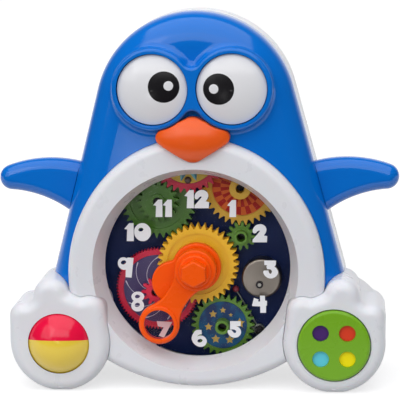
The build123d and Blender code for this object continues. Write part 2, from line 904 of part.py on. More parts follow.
def star_gear():
    wheel = single_gear(star_teeth, star_turn, minute_back, star_at, star_boss_radius, star_recess)
    for index in range(lift_pin_count):
        at = polar(star_at, lift_pin_circle, 360 * index / lift_pin_count)
        wheel += rod(lift_pin_radius, minute_back - lift_pin_length, minute_back, at)
    return wheel


def checker_gear():
    return single_gear(checker_teeth, checker_turn, minute_back, checker_at, checker_boss_radius, checker_recess)


def sunburst_gear():
    turn = sunburst_turn
    return single_gear(sunburst_teeth, turn, hour_back, sunburst_at, sunburst_boss_radius, sunburst_recess)


def green_gear():
    wheel = gear_wheel(green_teeth, green_turn, minute_back, green_at)
    wheel -= face_groove(recess_radius(green_teeth), minute_front, green_at, neck_radius)
    wheel += rod(neck_radius, minute_back, hour_back, green_at)
    wheel += gear_wheel(green_pinion_teeth, green_turn, hour_back, green_at)
    return with_boss(wheel, hour_front, green_at, pinion_boss_radius)


def idler_gear():
    wheel = gear_wheel(idler_teeth, idler_turn, minute_back, idler_at)
    return with_boss(wheel, minute_front, idler_at, idler_boss_radius)


def eye_gear(turn, at):
    wheel = gear_wheel(eye_teeth, turn, hour_back, at)
    wheel -= face_groove(recess_radius(eye_teeth), hour_front, at, eye_bearing_radius)
    return wheel - rod(eye_stub_radius + running_gap, -overrun, hour_front + overrun, at)


# Clock arbor and hands
arbor_back = plate_front - arbor_bush_length - arbor_tail
arbor_front = cap_front - cap_crown


def minute_arbor():
    arbor = rod(arbor_radius, arbor_back, arbor_front, hub)
    pinion = gear_outline(arbor_pinion_teeth, fine_module, arbor_turn)
    return arbor + Pos(*hub) * prism(pinion, 0, gear_thickness)


def arbor_clip():
    high = plate_front - arbor_bush_length - turning_gap
    clip = rod(clip_radius, high - clip_thickness, high, hub)
    return clip - rod(arbor_radius + running_gap, high - overrun, high + overrun, hub)


def minute_wheel():
    wheel = gear_wheel(minute_teeth, minute_turn, minute_back, hub)
    return wheel - rod(arbor_radius + running_gap, -overrun, hour_back, hub)


def hour_wheel():
    wheel = gear_wheel(hour_teeth, hour_turn, hour_back, hub)
    wheel -= face_groove(recess_radius(hour_teeth), hour_front, hub, hour_pipe_radius)
    wheel += rod(hour_pipe_radius, hour_back, hour_hand_back + hour_hand_thickness, hub)
    return wheel - rod(arbor_radius + running_gap, -overrun, minute_hub_back, hub)


def hand_frame(clock_angle):
    # Turns a hand drawn along +Y from the hub to a clock angle, clockwise from twelve.
    return Pos(*hub) * Rot(0, 0, -clock_angle)


def hour_hand():
    face = Circle(hour_disc_radius) + Pos(0, hour_paddle_offset) * Circle(hour_paddle_radius)
    face = blended_corners(face, hour_neck_blend)
    hand = rounded_prism(face, hour_hand_back, hour_hand_back + hour_hand_thickness, hand_edge_radius)
    hand -= rod(hour_pipe_radius + running_gap, 0, minute_hub_back, (0, 0))
    return hand_frame(hour_clock_angle) * hand


def minute_hand():
    arm = Pos(0, minute_ring_offset / 2) * Rectangle(minute_arm_width, minute_ring_offset)
    face = Circle(minute_hub_radius) + arm + Pos(0, minute_ring_offset) * Circle(minute_ring_radius)
    face = blended_corners(face, minute_arm_blend)
    hand = rounded_prism(face, minute_arm_back, minute_arm_back + minute_arm_thickness, hand_edge_radius)
    hub_boss = rounded_prism(Circle(minute_hub_radius), minute_hub_back, minute_hub_front, hand_edge_radius)
    hand += hub_boss
    ring_front = minute_arm_back + minute_arm_thickness + minute_ring_rise
    bead_face = Circle(minute_ring_bore + minute_ring_lip)
    bead = rounded_prism(bead_face, minute_arm_back, ring_front, minute_ring_rise)
    hand += Pos(0, minute_ring_offset) * bead
    hand -= rod(minute_ring_bore, 0, minute_hub_front + overrun, (0, minute_ring_offset))
    hand -= rod(arbor_radius + running_gap, 0, minute_hub_front + overrun, (0, 0))
    return hand_frame(minute_clock_angle) * hand


def hand_window():
    middle = minute_arm_back + minute_arm_thickness / 2
    low = middle - window_thickness / 2
    window = rod(minute_ring_bore - running_gap, low, low + window_thickness, (0, minute_ring_offset))
    return hand_frame(minute_clock_angle) * window


def hand_cap():
    disc_top = minute_hub_front + cap_disc_height
    cap = rounded_prism(Circle(cap_disc_radius), minute_hub_front, disc_top, hand_edge_radius)
    hexagon = RegularPolygon(cap_hex_flats / 2, 6, major_radius=False, rotation=30)
    cap += rounded_prism(hexagon, disc_top, cap_front, hand_edge_radius)
    cap -= rod(arbor_radius + running_gap, 0, arbor_front, (0, 0))
    return Pos(*hub) * cap


# Dial plate with its posts, the bell and the hammer
hour_post_top = hour_front - boss_counterbore
minute_post_top = minute_front - boss_counterbore
gear_post_tops = (
    (red_at, hour_post_top),
    (star_at, minute_post_top),
    (green_at, hour_post_top),
    (sunburst_at, hour_post_top),
    (idler_at, minute_post_top),
    (checker_at, minute_post_top),
)
gear_post_floors = (0, minute_back, minute_back, hour_back, minute_back, minute_back)
end_play = turning_gap


def dial_plate():
    face = Pos(*hub) * Circle(plate_radius)
    for angle in column_angles:
        face += Pos(*polar(hub, column_pitch_radius, angle)) * Circle(plate_ear_radius)
    face += Pos(*sunburst_at) * Circle(plate_lug_radius)
    plate_back = plate_front - plate_thickness
    plate = prism(face, plate_back, plate_front)
    plate += rod(arbor_bush_radius, plate_front - arbor_bush_length, -end_play, hub)
    plate -= rod(arbor_radius + running_gap, plate_front - arbor_bush_length - overrun, overrun, hub)
    for (at, top), floor in zip(gear_post_tops, gear_post_floors):
        plate += rod(post_collar_radius, plate_front, floor - end_play, at)
        plate += rod(post_radius, plate_front, top + end_play, at)
        plate -= rod(screw_hole_radius, top - screw_grip, top + overrun, at)
    plate += rod(hammer_hub_radius, plate_front, -end_play, hammer_at)
    plate += rod(hammer_post_radius, plate_front, hammer_hub_thickness + end_play, hammer_at)
    plate -= rod(screw_hole_radius, plate_back - overrun, hammer_hub_thickness + overrun, hammer_at)
    plate += rod(bell_post_radius, plate_front, bell_top - bell_wall, bell_post_at)
    plate -= rod(screw_hole_radius, bell_top - screw_grip, bell_top + overrun, bell_post_at)
    for angle in column_angles:
        at = polar(hub, column_pitch_radius, angle)
        plate -= rod(screw_shank_radius + seam, plate_back - overrun, plate_front + overrun, at)
    return plate


def gear_screws():
    screws = []
    for at, top in gear_post_tops:
        low = top + end_play
        screw = rod(gear_head_radius, low, low + screw_head_height, at)
        screws.append(screw + rod(screw_shank_radius, top - screw_grip, low, at))
    low = hammer_hub_thickness + end_play
    screw = rod(hammer_screw_radius, low, low + screw_head_height, hammer_at)
    screws.append(screw + rod(screw_shank_radius, plate_front, low, hammer_at))
    return Compound(children=screws)


def plate_screws():
    screws = []
    for angle in column_angles:
        at = polar(hub, column_pitch_radius, angle)
        high = plate_front - plate_thickness
        screw = rod(screw_head_radius, high - screw_head_height, high, at)
        screws.append(screw + rod(screw_shank_radius, high, plate_front + screw_grip, at))
    return Compound(children=screws)


def rear_screws(places):
    screws = []
    for at in places:
        screw = rod(case_head_radius, -case_screw_floor - case_head_height, -case_screw_floor, at)
        screws.append(screw + rod(case_shank_radius, -case_screw_floor, case_screw_grip, at))
    return Compound(children=screws)


def bell():
    dome = rounded_prism(Pos(*bell_at) * Circle(bell_radius), bell_rim, bell_top, bell_shoulder_radius)
    inner = Pos(*bell_at) * Circle(bell_radius - bell_wall)
    dome -= rounded_prism(inner, bell_rim - overrun, bell_top - bell_wall, bell_shoulder_radius - bell_wall)
    return dome - rod(screw_hole_radius, bell_rim, bell_top + overrun, bell_post_at)


def bell_screw():
    screw = rod(bell_screw_radius, bell_top, bell_top + screw_head_height, bell_post_at)
    return screw + rod(screw_shank_radius, bell_top - screw_grip, bell_top, bell_post_at)


def hammer_rod(start, end, radius, depth):
    run = Vector(end[0] - start[0], end[1] - start[1])
    plane = Plane(origin=(start[0], start[1], depth), z_dir=run)
    return plane * Cylinder(radius, run.length, align=seat)


def hammer_arm():
    arm = rod(hammer_hub_radius, 0, hammer_hub_thickness, hammer_at)
    arm += hammer_rod(hammer_at, hammer_head_at, hammer_wire_radius, hammer_hub_thickness / 2)
    tail_end = distance(hammer_at, star_at) - lift_pin_circle - lift_pin_radius - 2 * turning_gap
    tail_turn = math.degrees(direction(hammer_at, star_at))
    tail = Pos(tail_end / 2, 0) * Rectangle(tail_end, hammer_tail_width)
    arm += prism(Pos(*hammer_at) * Rot(0, 0, tail_turn) * tail, 0, hammer_hub_thickness)
    return arm - rod(hammer_post_radius + running_gap, -overrun, gear_thickness, hammer_at)


def hammer_head():
    middle = (hammer_head_at[0], hammer_head_at[1], hammer_hub_thickness / 2)
    head = Pos(*middle) * Sphere(hammer_head_radius)
    return head - hammer_rod(hammer_at, hammer_head_at, hammer_wire_radius, hammer_hub_thickness / 2)


nodes = {
    "front_shell": front_shell(),
    "rear_cover": rear_cover(),
    "belly_frame": belly_frame(),
    "dial_lens": dial_lens(),
    "dial_plate": dial_plate(),
    "beak": beak(),
    "right_wing": wing(),
    "left_wing": mirrored(wing()),
    "right_foot": right_foot(),
    "left_foot": left_foot(),
    "ball_axle": ball_axle(),
    "ball_upper": ball_half(True),
    "ball_lower": ball_half(False),
    "finger_dial": finger_dial(),
    "dial_screw": dial_screw(),
    "gear_screws": gear_screws(),
    "plate_screws": plate_screws(),
    "case_screws": rear_screws(case_screw_places),
    "foot_screws": rear_screws(all_foot_screw_places()),
    "bell": bell(),
    "bell_screw": bell_screw(),
    "hammer_arm": hammer_arm(),
    "hammer_head": hammer_head(),
    "minute_arbor": minute_arbor(),
    "arbor_clip": arbor_clip(),
    "minute_wheel": minute_wheel(),
    "minute_hand": minute_hand(),
    "hand_window": hand_window(),
    "hand_cap": hand_cap(),
    "hour_wheel": hour_wheel(),
    "hour_hand": hour_hand(),
    "red_gear": red_gear(),
    "swirl_label": face_label(red_label_radius, neck_radius, gear_thickness, red_at),
    "star_gear": star_gear(),
    "star_label": face_label(star_recess, star_boss_radius, minute_front, star_at),
    "green_gear": green_gear(),
    "idler_gear": idler_gear(),
    "checker_gear": checker_gear(),
    "checker_label": face_label(checker_recess, checker_boss_radius, minute_front, checker_at),
    "sunburst_gear": sunburst_gear(),
    "sunburst_label": face_label(sunburst_recess, sunburst_boss_radius, hour_front, sunburst_at),
    "left_eye": eye(left_eye_at, left_pupil_angle),
    "left_pupil": pupil(left_eye_at, left_pupil_angle),
    "left_eye_gear": eye_gear(left_eye_turn, left_eye_at),
    "left_eye_screw": eye_screw(left_eye_at),
    "right_eye": eye(right_eye_at, right_pupil_angle),
    "right_pupil": pupil(right_eye_at, right_pupil_angle),
    "right_eye_gear": eye_gear(right_eye_turn, right_eye_at),
    "right_eye_screw": eye_screw(right_eye_at),
}
for colour in disc_hole_signs:
    nodes[colour + "_insert"] = dial_insert(colour)

os.makedirs("parts", exist_ok=True)
upright = Pos(0, depth_middle, 0) * Rot(90, 0, 0)
for name, piece in nodes.items():
    export_step(upright * piece, os.path.join("parts", name + ".step"))

axes = {
    "hub": hub,
    "red": red_at,
    "star": star_at,
    "green": green_at,
    "sunburst": sunburst_at,
    "idler": idler_at,
    "checker": checker_at,
    "left_eye": left_eye_at,
    "right_eye": right_eye_at,
    "hammer": hammer_at,
    "finger_dial": disc_at,
}
for name, (x, z) in axes.items():
    print(f"axis {name}: x {x:.4f} z {z:.4f} mm, along Y")
print(f"axis ball: y {depth_middle - ball_depth:.4f} z {foot_height:.4f} mm, along X at x {-foot_offset:.4f}")
print(f"parting line at y {depth_middle:.4f} mm")
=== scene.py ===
import json
import math

import bmesh
import bpy
from mathutils import Matrix, Vector

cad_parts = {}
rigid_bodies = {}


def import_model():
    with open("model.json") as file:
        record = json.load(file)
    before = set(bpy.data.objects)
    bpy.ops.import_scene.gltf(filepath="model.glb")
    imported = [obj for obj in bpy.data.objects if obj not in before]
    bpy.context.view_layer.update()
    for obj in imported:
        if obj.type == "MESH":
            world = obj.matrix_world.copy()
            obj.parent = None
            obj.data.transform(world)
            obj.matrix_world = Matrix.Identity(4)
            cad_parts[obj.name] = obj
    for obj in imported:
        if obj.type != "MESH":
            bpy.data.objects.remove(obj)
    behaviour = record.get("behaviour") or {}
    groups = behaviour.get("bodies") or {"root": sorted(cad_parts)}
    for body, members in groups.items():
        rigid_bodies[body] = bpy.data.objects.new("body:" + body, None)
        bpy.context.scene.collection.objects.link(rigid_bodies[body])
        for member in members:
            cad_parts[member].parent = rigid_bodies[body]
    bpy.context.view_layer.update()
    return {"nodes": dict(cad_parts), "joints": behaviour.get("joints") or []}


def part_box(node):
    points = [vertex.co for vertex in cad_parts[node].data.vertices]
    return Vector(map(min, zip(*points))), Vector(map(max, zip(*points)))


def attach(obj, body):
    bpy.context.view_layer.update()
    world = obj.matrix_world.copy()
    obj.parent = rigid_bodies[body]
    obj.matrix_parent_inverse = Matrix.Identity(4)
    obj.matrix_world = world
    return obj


for leftover in list(bpy.data.objects):
    bpy.data.objects.remove(leftover)
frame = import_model()
nodes = frame["nodes"]
joints = {joint["name"]: joint for joint in frame["joints"]}
mm = 0.001
print("frame loaded:", len(nodes), "nodes")


def axisOf(jointName):
    # where a turning piece has its axle, seen from the front as (x, z)
    place = joints[jointName]["pos_m"]
    return Vector((place[0], place[2]))


def frontOf(nodeName):
    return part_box(nodeName)[0].y  # the viewer stands at -Y


def linear(red, green, blue):
    # a screen colour of 0 to 255 as the shader wants it, by the sRGB curve
    shares = (red / 255, green / 255, blue / 255)
    return tuple(s / 12.92 if s <= 0.04045 else ((s + 0.055) / 1.055) ** 2.4 for s in shares) + (1.0,)


# the camera of the photograph, lengths in mm and angles in degrees
cameraSet = {
    "target": (0.9, 8.4, 127.9),
    "distance": 1200.0,
    "azimuth": 5.4,
    "elevation": 10.3,
    "roll": -1.0,
    "focalPixels": 1706.0,
    "imagePixels": 400.0,
    "sensor": 36.0,
    "farEnd": 20000.0,
}


def makeCamera(settings):
    swing, lift, tilt = (math.radians(settings[key]) for key in ("azimuth", "elevation", "roll"))
    level = math.cos(lift)
    back = Vector((math.sin(swing) * level, -math.cos(swing) * level, math.sin(lift)))
    right = (-back).cross(Vector((0, 0, 1))).normalized()
    up = right.cross(-back)
    tiltedRight = right * math.cos(tilt) + up * math.sin(tilt)
    tiltedUp = up * math.cos(tilt) - right * math.sin(tilt)
    lens = bpy.data.cameras.new("photoCamera")
    lens.sensor_width = settings["sensor"]
    lens.lens = settings["focalPixels"] * settings["sensor"] / settings["imagePixels"]
    lens.clip_end = settings["farEnd"] * mm
    camera = bpy.data.objects.new("photoCamera", lens)
    place = Vector(settings["target"]) * mm + back * settings["distance"] * mm
    turn = Matrix((tiltedRight, tiltedUp, back)).transposed().to_4x4()
    camera.matrix_world = Matrix.Translation(place) @ turn
    bpy.context.scene.collection.objects.link(camera)
    bpy.context.scene.camera = camera


makeCamera(cameraSet)
print("camera set")


# shared shader effects
def newGroup(name, inputs, outputs):
    group = bpy.data.node_groups.new(name, "ShaderNodeTree")
    for way, sockets in (("INPUT", inputs), ("OUTPUT", outputs)):
        for label, kind in sockets.items():
            group.interface.new_socket(name=label, in_out=way, socket_type="NodeSocket" + kind)
    return group, group.nodes.new("NodeGroupInput"), group.nodes.new("NodeGroupOutput")


def addNode(tree, kind, **settings):
    node = tree.nodes.new(kind)
    for key, value in settings.items():
        setattr(node, key, value)
    return node


def setSockets(shader, values):
    for label, value in values.items():
        shader.inputs[label].default_value = value


def feed(tree, socket, value):
    # a socket takes another node's output or a plain value
    if isinstance(value, bpy.types.NodeSocket):
        tree.links.new(value, socket)
    else:
        socket.default_value = value


def noiseNode(tree, vector, scale, detail):
    noise = addNode(tree, "ShaderNodeTexNoise")
    for label, value in (("Vector", vector), ("Scale", scale), ("Detail", detail)):
        feed(tree, noise.inputs[label], value)
    return noise.outputs["Fac"]


def mathNode(tree, operation, first, second):
    node = addNode(tree, "ShaderNodeMath", operation=operation)
    feed(tree, node.inputs[0], first)
    feed(tree, node.inputs[1], second)
    return node.outputs[0]


def mixNode(tree, factor, first, second, kind="FLOAT"):
    mix = addNode(tree, "ShaderNodeMix", data_type=kind)
    for label, value in (("Factor", factor), ("A", first), ("B", second)):
        feed(tree, mix.inputs[label], value)
    return mix.outputs["Result"]


def lengthNode(tree, vector):
    reach = addNode(tree, "ShaderNodeVectorMath", operation="LENGTH")
    tree.links.new(vector, reach.inputs[0])
    return reach.outputs["Value"]


def smoothRamp(tree, value, edges, levels=(0.0, 1.0)):
    ramp = addNode(tree, "ShaderNodeMapRange", interpolation_type="SMOOTHSTEP")
    setSockets(ramp, {"From Min": edges[0], "From Max": edges[1], "To Min": levels[0], "To Max": levels[1]})
    tree.links.new(value, ramp.inputs["Value"])
    return ramp.outputs["Result"]


def toneNode(tree, colour, value):
    tint = addNode(tree, "ShaderNodeHueSaturation")
    tree.links.new(value, tint.inputs["Value"])
    tree.links.new(colour, tint.inputs["Color"])
    return tint.outputs["Color"]


def around(tree, fac, middle, spread):
    # a noise of 0 to 1 turned into middle plus or minus half the spread
    centred = mathNode(tree, "SUBTRACT", fac, 0.5)
    return mathNode(tree, "ADD", mathNode(tree, "MULTIPLY", centred, spread), middle)


finishOutputs = {"Colour": "Color", "Roughness": "Float", "Height": "Float"}
skinDetail = {
    "cloudScale": 16,
    "cloudDetail": 3,
    "patchDetail": 2,
    "patchEdges": (0.4, 0.6),
    "hazeScale": 70,
    "hazeDetail": 6,
    "grainDetail": 2,
}


def mouldedSkinGroup(detail):
    # moulded plastic: cloudy colour, handling haze in the gloss and a fine tool texture
    inputs = {
        "Colour": "Color",
        "Patch Colour": "Color",
        "Patch": "Float",
        "Patch Scale": "Float",
        "Cloud": "Float",
        "Gloss": "Float",
        "Haze": "Float",
        "Grain Scale": "Float",
    }
    group, start, end = newGroup("mouldedSkin", inputs, finishOutputs)
    given = start.outputs
    place = addNode(group, "ShaderNodeTexCoord").outputs["Object"]
    patchNoise = noiseNode(group, place, given["Patch Scale"], detail["patchDetail"])
    patches = smoothRamp(group, patchNoise, detail["patchEdges"])
    share = mathNode(group, "MULTIPLY", patches, given["Patch"])
    tones = mixNode(group, share, given["Colour"], given["Patch Colour"], "RGBA")
    cloud = noiseNode(group, place, detail["cloudScale"], detail["cloudDetail"])
    clouded = toneNode(group, tones, around(group, cloud, 1.0, given["Cloud"]))
    group.links.new(clouded, end.inputs["Colour"])
    haze = noiseNode(group, place, detail["hazeScale"], detail["hazeDetail"])
    group.links.new(around(group, haze, given["Gloss"], given["Haze"]), end.inputs["Roughness"])
    grain = noiseNode(group, place, given["Grain Scale"], detail["grainDetail"])
    group.links.new(grain, end.inputs["Height"])
    return group


spunDetail = {"ringDetail": 4, "glossSpread": 0.25, "stainScale": 90, "stainDetail": 4, "stainSpread": 0.25}


def spunMetalGroup(detail):
    # sheet steel: rings left by spinning and a stained tone
    inputs = {"Colour": "Color", "Centre": "Vector", "Ring Scale": "Float", "Gloss": "Float"}
    group, start, end = newGroup("spunMetal", inputs, finishOutputs)
    given = start.outputs
    place = addNode(group, "ShaderNodeTexCoord").outputs["Object"]
    offset = addNode(group, "ShaderNodeVectorMath", operation="SUBTRACT")
    group.links.new(place, offset.inputs[0])
    group.links.new(given["Centre"], offset.inputs[1])
    ringPlace = addNode(group, "ShaderNodeCombineXYZ")
    group.links.new(lengthNode(group, offset.outputs[0]), ringPlace.inputs["X"])
    rings = noiseNode(group, ringPlace.outputs[0], given["Ring Scale"], detail["ringDetail"])
    stain = noiseNode(group, place, detail["stainScale"], detail["stainDetail"])
    stained = toneNode(group, given["Colour"], around(group, stain, 1.0, detail["stainSpread"]))
    group.links.new(stained, end.inputs["Colour"])
    group.links.new(around(group, rings, given["Gloss"], detail["glossSpread"]), end.inputs["Roughness"])
    group.links.new(rings, end.inputs["Height"])
    return group


skinGroup = mouldedSkinGroup(skinDetail)
spunGroup = spunMetalGroup(spunDetail)
print("shader groups ready")


def newMaterial(name):
    material = bpy.data.materials.new(name)
    material.use_nodes = True
    return material, material.node_tree, material.node_tree.nodes["Principled BSDF"]


def placeGroup(tree, shader, group, values, look):
    effect = addNode(tree, "ShaderNodeGroup", node_tree=group)
    setSockets(effect, values)
    tree.links.new(effect.outputs["Colour"], shader.inputs["Base Color"])
    tree.links.new(effect.outputs["Roughness"], shader.inputs["Roughness"])
    ripple = addNode(tree, "ShaderNodeBump")
    setSockets(ripple, {"Strength": look["bump"], "Distance": look["bumpDepth"]})
    tree.links.new(effect.outputs["Height"], ripple.inputs["Height"])
    tree.links.new(ripple.outputs["Normal"], shader.inputs["Normal"])


# what a finish has where its own dictionary says nothing
plasticUsual = {
    "patch": 0.0,  # share of a second colour, in patches
    "patchScale": 120,
    "cloud": 0.08,  # how far the tone wanders
    "gloss": 0.25,  # the roughness, and below how far it wanders
    "haze": 0.12,
    "grainScale": 1500,
    "bump": 0.06,
    "bumpDepth": 0.2 * mm,
    "bend": 1.5,  # refractive index
    "shine": 0.5,
    "coat": 0.0,
    "coatGloss": 0.06,
    "glow": 0.0,  # light that sinks in a little
    "glowDepth": 3 * mm,
}
steelUsual = {
    "centre": (0, 0, 0),
    "ringScale": 900,
    "gloss": 0.35,
    "bump": 0.1,
    "bumpDepth": 0.1 * mm,
    "bend": 2.5,
    "spin": 0.0,  # how far turned rings draw out a highlight
}
clearUsual = {"smearScale": 55, "smearDetail": 5}


def mouldedPlastic(ownLook):
    look = {"patchColour": ownLook["colour"], **plasticUsual, **ownLook}
    material, tree, shader = newMaterial(look["name"])
    values = {
        "Colour": linear(*look["colour"]),
        "Patch Colour": linear(*look["patchColour"]),
        "Patch": look["patch"],
        "Patch Scale": look["patchScale"],
        "Cloud": look["cloud"],
        "Gloss": look["gloss"],
        "Haze": look["haze"],
        "Grain Scale": look["grainScale"],
    }
    placeGroup(tree, shader, skinGroup, values, look)
    setSockets(shader, {
        "IOR": look["bend"],
        "Specular IOR Level": look["shine"],
        "Coat Weight": look["coat"],
        "Coat Roughness": look["coatGloss"],
    })
    if look["glow"]:
        setSockets(shader, {"Subsurface Weight": look["glow"], "Subsurface Scale": look["glowDepth"]})
    return material


def spunSteel(ownLook):
    look = {**steelUsual, **ownLook}
    material, tree, shader = newMaterial(look["name"])
    values = {
        "Colour": linear(*look["colour"]),
        "Centre": look["centre"],
        "Ring Scale": look["ringScale"],
        "Gloss": look["gloss"],
    }
    placeGroup(tree, shader, spunGroup, values, look)
    setSockets(shader, {"Metallic": 1.0, "IOR": look["bend"], "Anisotropic": look["spin"]})
    if look["spin"]:
        # the turned rings stretch each highlight into a wedge
        turned = addNode(tree, "ShaderNodeTangent", direction_type="RADIAL", axis="Y")
        tree.links.new(turned.outputs["Tangent"], shader.inputs["Tangent"])
    return material


def clearPlastic(ownLook):
    # clear to look at, and light reaches what lies behind it
    look = {**clearUsual, **ownLook}
    material, tree, shader = newMaterial(look["name"])
    tint = linear(*look["colour"])
    setSockets(shader, {
        "Base Color": tint,
        "Transmission Weight": 1.0,
        "IOR": look["bend"],
        "Specular IOR Level": look["shine"],
    })
    place = addNode(tree, "ShaderNodeTexCoord").outputs["Object"]
    smear = noiseNode(tree, place, look["smearScale"], look["smearDetail"])
    tree.links.new(around(tree, smear, look["gloss"], look["smear"]), shader.inputs["Roughness"])
    path = addNode(tree, "ShaderNodeLightPath")
    through = addNode(tree, "ShaderNodeBsdfTransparent")
    through.inputs["Color"].default_value = tint
    passing = mathNode(tree, "MAXIMUM", path.outputs["Is Shadow Ray"], path.outputs["Is Diffuse Ray"])
    blend = addNode(tree, "ShaderNodeMixShader")
    tree.links.new(passing, blend.inputs["Fac"])
    tree.links.new(shader.outputs[0], blend.inputs[1])
    tree.links.new(through.outputs[0], blend.inputs[2])
    tree.links.new(blend.outputs[0], tree.nodes["Material Output"].inputs["Surface"])
    return material


sharpEdge = math.radians(32)  # a fold of the surface past this stays crisp


def dress(material, *nodeNames):
    for nodeName in nodeNames:
        mesh = nodes[nodeName].data
        mesh.materials.clear()
        mesh.materials.append(material)
        mesh.shade_smooth()
        mesh.set_sharp_from_angle(angle=sharpEdge)


# case
shellBlue = {
    "name": "shellBlue", "colour": (0, 110, 206), "cloud": 0.06, "gloss": 0.14, "haze": 0.05,
    "shine": 0.4, "coat": 0.12,
}
caseWhite = {
    "name": "caseWhite", "colour": (228, 229, 235), "cloud": 0.02, "gloss": 0.28, "haze": 0.05,
    "bump": 0.02, "glow": 0.1,
}
beakOrange = {
    "name": "beakOrange", "colour": (242, 92, 10), "cloud": 0.08, "gloss": 0.3, "haze": 0.1, "glow": 0.1,
}
plateNavy = {
    "name": "plateNavy", "colour": (15, 33, 82), "cloud": 0.2, "gloss": 0.45, "shine": 0.2, "bump": 0.15,
}
lensClear = {
    "name": "lensClear", "colour": (250, 251, 252), "bend": 1.05, "shine": 0.05,
    "gloss": 0.02, "smear": 0.05,
}
dress(mouldedPlastic(shellBlue), "front_shell", "left_wing", "right_wing")
dress(mouldedPlastic(caseWhite), "rear_cover", "belly_frame", "left_foot", "right_foot")
dress(mouldedPlastic(beakOrange), "beak")
dress(mouldedPlastic(plateNavy), "dial_plate")
dress(clearPlastic(lensClear), "dial_lens")
print("case dressed")

# hands
handOrange = {"name": "handOrange", "colour": (255, 90, 0), "cloud": 0.06, "gloss": 0.28, "shine": 0.25}
windowPink = {
    "name": "windowPink", "colour": (255, 236, 237), "bend": 1.15, "shine": 0.2,
    "gloss": 0.04, "smear": 0.05,
}
dress(mouldedPlastic(handOrange), "hour_hand", "minute_hand", "hand_cap")
dress(clearPlastic(windowPink), "hand_window")
print("hands dressed")

# gears
gearYellow = {"name": "gearYellow", "colour": (252, 196, 40), "cloud": 0.14, "gloss": 0.38, "haze": 0.15}
# the checker gear is the same yellow plastic as the other gears; this darker copy is painted shade for the
# shade that falls on it
gearYellowPaintedShade = {"name": "gearYellowPaintedShade", "colour": (214, 166, 48), "cloud": 0.14, "gloss": 0.4, "haze": 0.15}
gearGreen = {"name": "gearGreen", "colour": (88, 132, 36), "cloud": 0.2, "gloss": 0.4, "haze": 0.15}
gearDeepGreen = {
    "name": "gearDeepGreen", "colour": (60, 104, 14), "cloud": 0.22, "gloss": 0.4, "haze": 0.15,
}
gearRed = {"name": "gearRed", "colour": (230, 34, 74), "cloud": 0.16, "gloss": 0.38, "haze": 0.15}
gearCrimson = {"name": "gearCrimson", "colour": (196, 26, 60), "cloud": 0.16, "gloss": 0.4, "haze": 0.15}
hammerRed = {"name": "hammerRed", "colour": (150, 50, 68), "cloud": 0.2, "gloss": 0.5, "haze": 0.15}
arborWhite = {"name": "arborWhite", "colour": (214, 210, 200), "cloud": 0.1, "gloss": 0.4}
dress(mouldedPlastic(gearYellow), "hour_wheel", "minute_wheel", "left_eye_gear", "right_eye_gear")
dress(mouldedPlastic(gearYellowPaintedShade), "checker_gear")
dress(mouldedPlastic(gearGreen), "star_gear", "idler_gear")
dress(mouldedPlastic(gearDeepGreen), "green_gear")
dress(mouldedPlastic(gearRed), "red_gear")
dress(mouldedPlastic(gearCrimson), "sunburst_gear")
dress(mouldedPlastic(hammerRed), "hammer_head")
dress(mouldedPlastic(arborWhite), "minute_arbor")
print("gears dressed")

# labels
labelPurple = {"name": "labelPurple", "colour": (70, 54, 108), "cloud": 0.2, "gloss": 0.35, "haze": 0.1}
labelBlue = {
    "name": "labelBlue", "colour": (40, 60, 104), "cloud": 0.22, "gloss": 0.4, "haze": 0.1, "shine": 0.25,
    "patchColour": (34, 98, 140), "patch": 0.8, "patchScale": 90,
}
labelOrange = {
    "name": "labelOrange", "colour": (218, 104, 46), "cloud": 0.12, "gloss": 0.4, "haze": 0.1, "shine": 0.2,
}
labelYellow = {
    "name": "labelYellow", "colour": (214, 176, 44), "cloud": 0.12, "gloss": 0.35, "haze": 0.1,
}
dress(mouldedPlastic(labelPurple), "swirl_label")
dress(mouldedPlastic(labelBlue), "star_label")
dress(mouldedPlastic(labelOrange), "checker_label")
dress(mouldedPlastic(labelYellow), "sunburst_label")
print("labels dressed")

# metal
steelPlain = {"name": "steelPlain", "colour": (150, 146, 140), "gloss": 0.35}
steelDark = {"name": "steelDark", "colour": (44, 42, 44), "gloss": 0.5}
wireSteel = {"name": "wireSteel", "colour": (140, 143, 136), "gloss": 0.45}
bellLow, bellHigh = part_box("bell")
bellSteel = {
    "name": "bellSteel", "colour": (124, 116, 108), "gloss": 0.34, "ringScale": 1400, "spin": 0.75,
    "centre": (bellLow + bellHigh) / 2,
}
plainSteel = spunSteel(steelPlain)
dress(
    plainSteel, "plate_screws", "case_screws", "foot_screws", "dial_screw",
    "left_eye_screw", "right_eye_screw", "arbor_clip", "ball_axle",
)
dress(spunSteel(steelDark), "gear_screws", "bell_screw")
dress(spunSteel(wireSteel), "hammer_arm")
dress(spunSteel(bellSteel), "bell")
print("metal dressed")

# eyes
eyeWhite = {
    "name": "eyeWhite", "colour": (230, 230, 234), "cloud": 0.03, "gloss": 0.18, "haze": 0.06, "coat": 0.4,
}
pupilBlack = {"name": "pupilBlack", "colour": (22, 20, 24), "cloud": 0.3, "gloss": 0.25, "haze": 0.1}
whiteGloss = mouldedPlastic(eyeWhite)
dress(whiteGloss, "left_eye", "right_eye")
dress(mouldedPlastic(pupilBlack), "left_pupil", "right_pupil")
print("eyes dressed")

